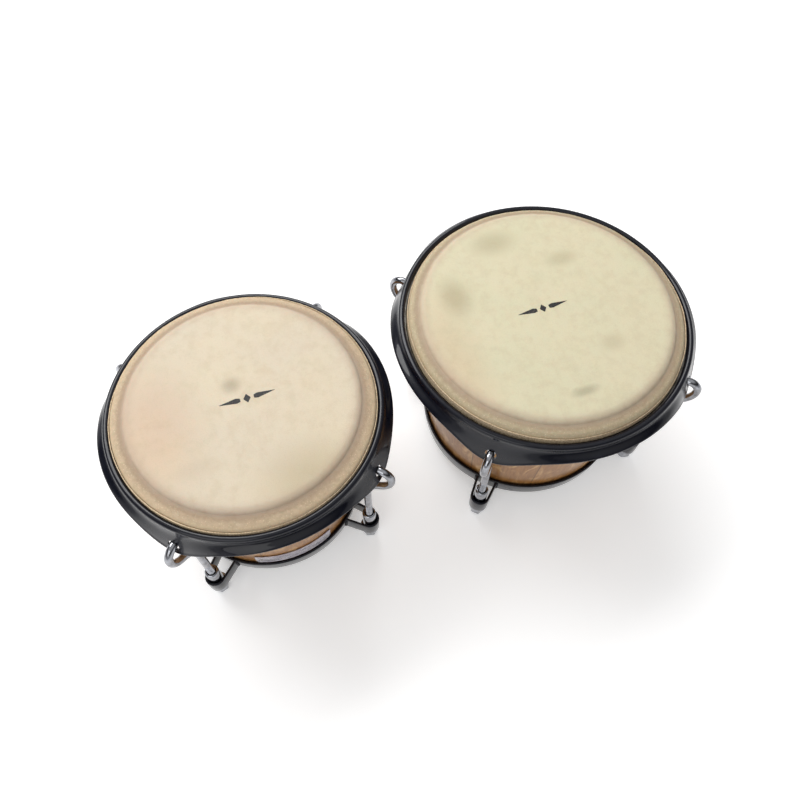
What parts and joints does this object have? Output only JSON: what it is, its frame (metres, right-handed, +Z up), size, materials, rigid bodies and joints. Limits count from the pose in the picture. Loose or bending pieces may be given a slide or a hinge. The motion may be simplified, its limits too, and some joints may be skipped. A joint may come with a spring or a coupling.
{
  "type": "bongo drums",
  "caption": "Pair of open-bottomed wooden hand drums with rawhide heads, drawn down by black rims, hooks and nuts on base-ring straps.",
  "frame": {"origin": "on the surface that the nuts stand on, under the middle of the pair", "axes": "+Z up, +X from the small drum to the large drum"},
  "size_m": [0.4512, 0.2328, 0.165],
  "materials": {
    "wood": "clear gloss lacquer over mottled tan wood",
    "skin": "dry cream rawhide, satin",
    "black_steel": "black satin-gloss powder coat",
    "chrome": "bright chrome plate",
    "hoop_steel": "plain drawn steel",
    "badge_metal": "plain brushed metal, blank"
  },
  "bodies": {
    "small_drum": {"small_shell": "wood", "small_base_ring": "black_steel", "small_head_skin": "skin", "small_strap_1": "black_steel", "small_strap_2": "black_steel", "small_strap_3": "black_steel", "small_strap_4": "black_steel", "small_badge": "badge_metal"},
    "small_rim": {"small_rim": "black_steel", "small_flesh_hoop": "hoop_steel", "small_hook_1": "chrome", "small_hook_2": "chrome", "small_hook_3": "chrome", "small_hook_4": "chrome"},
    "small_nut_1": {"small_nut_1": "chrome"},
    "small_nut_2": {"small_nut_2": "chrome"},
    "small_nut_3": {"small_nut_3": "chrome"},
    "small_nut_4": {"small_nut_4": "chrome"},
    "large_drum": {"large_shell": "wood", "large_base_ring": "black_steel", "large_head_skin": "skin", "large_strap_1": "black_steel", "large_strap_2": "black_steel", "large_strap_3": "black_steel", "large_strap_4": "black_steel"},
    "large_rim": {"large_rim": "black_steel", "large_flesh_hoop": "hoop_steel", "large_hook_1": "chrome", "large_hook_2": "chrome", "large_hook_3": "chrome", "large_hook_4": "chrome"},
    "large_nut_1": {"large_nut_1": "chrome"},
    "large_nut_2": {"large_nut_2": "chrome"},
    "large_nut_3": {"large_nut_3": "chrome"},
    "large_nut_4": {"large_nut_4": "chrome"}
  },
  "joints": [
    {"name": "drum_spacing", "type": "slide", "parent": "small_drum", "child": "large_drum", "axis": [1, 0, 0], "range_m": [0, 0.15]},
    {"name": "small_rim_tuning", "type": "slide", "parent": "small_drum", "child": "small_rim", "axis": [0, 0, -1], "range_m": [-0.004, 0.004]},
    {"name": "small_nut_1_turn", "type": "hinge", "parent": "small_drum", "child": "small_nut_1", "pos_m": [-0.05904, 0.06741, 0.03], "axis": [0, 0, 1], "range_deg": [-1135, 1135]},
    {"name": "small_nut_2_turn", "type": "hinge", "parent": "small_drum", "child": "small_nut_2", "pos_m": [-0.18931, 0.06286, 0.03], "axis": [0, 0, 1], "range_deg": [-1135, 1135]},
    {"name": "small_nut_3_turn", "type": "hinge", "parent": "small_drum", "child": "small_nut_3", "pos_m": [-0.18476, -0.06741, 0.03], "axis": [0, 0, 1], "range_deg": [-1135, 1135]},
    {"name": "small_nut_4_turn", "type": "hinge", "parent": "small_drum", "child": "small_nut_4", "pos_m": [-0.05449, -0.06286, 0.03], "axis": [0, 0, 1], "range_deg": [-1135, 1135]},
    {"name": "large_rim_tuning", "type": "slide", "parent": "large_drum", "child": "large_rim", "axis": [0, 0, -1], "range_m": [-0.004, 0.004]},
    {"name": "large_nut_1_turn", "type": "hinge", "parent": "large_drum", "child": "large_nut_1", "pos_m": [0.17934, 0.07522, 0.03], "axis": [0, 0, 1], "range_deg": [-1135, 1135]},
    {"name": "large_nut_2_turn", "type": "hinge", "parent": "large_drum", "child": "large_nut_2", "pos_m": [0.03399, 0.07014, 0.03], "axis": [0, 0, 1], "range_deg": [-1135, 1135]},
    {"name": "large_nut_3_turn", "type": "hinge", "parent": "large_drum", "child": "large_nut_3", "pos_m": [0.03906, -0.07522, 0.03], "axis": [0, 0, 1], "range_deg": [-1135, 1135]},
    {"name": "large_nut_4_turn", "type": "hinge", "parent": "large_drum", "child": "large_nut_4", "pos_m": [0.18441, -0.07014, 0.03], "axis": [0, 0, 1], "range_deg": [-1135, 1135]}
  ],
  "couplings": [
    {"joint": "small_nut_1_turn", "follows": "small_rim_tuning", "rad_per_m": 4947.4},
    {"joint": "small_nut_2_turn", "follows": "small_rim_tuning", "rad_per_m": 4947.4},
    {"joint": "small_nut_3_turn", "follows": "small_rim_tuning", "rad_per_m": 4947.4},
    {"joint": "small_nut_4_turn", "follows": "small_rim_tuning", "rad_per_m": 4947.4},
    {"joint": "large_nut_1_turn", "follows": "large_rim_tuning", "rad_per_m": 4947.4},
    {"joint": "large_nut_2_turn", "follows": "large_rim_tuning", "rad_per_m": 4947.4},
    {"joint": "large_nut_3_turn", "follows": "large_rim_tuning", "rad_per_m": 4947.4},
    {"joint": "large_nut_4_turn", "follows": "large_rim_tuning", "rad_per_m": 4947.4}
  ]
}
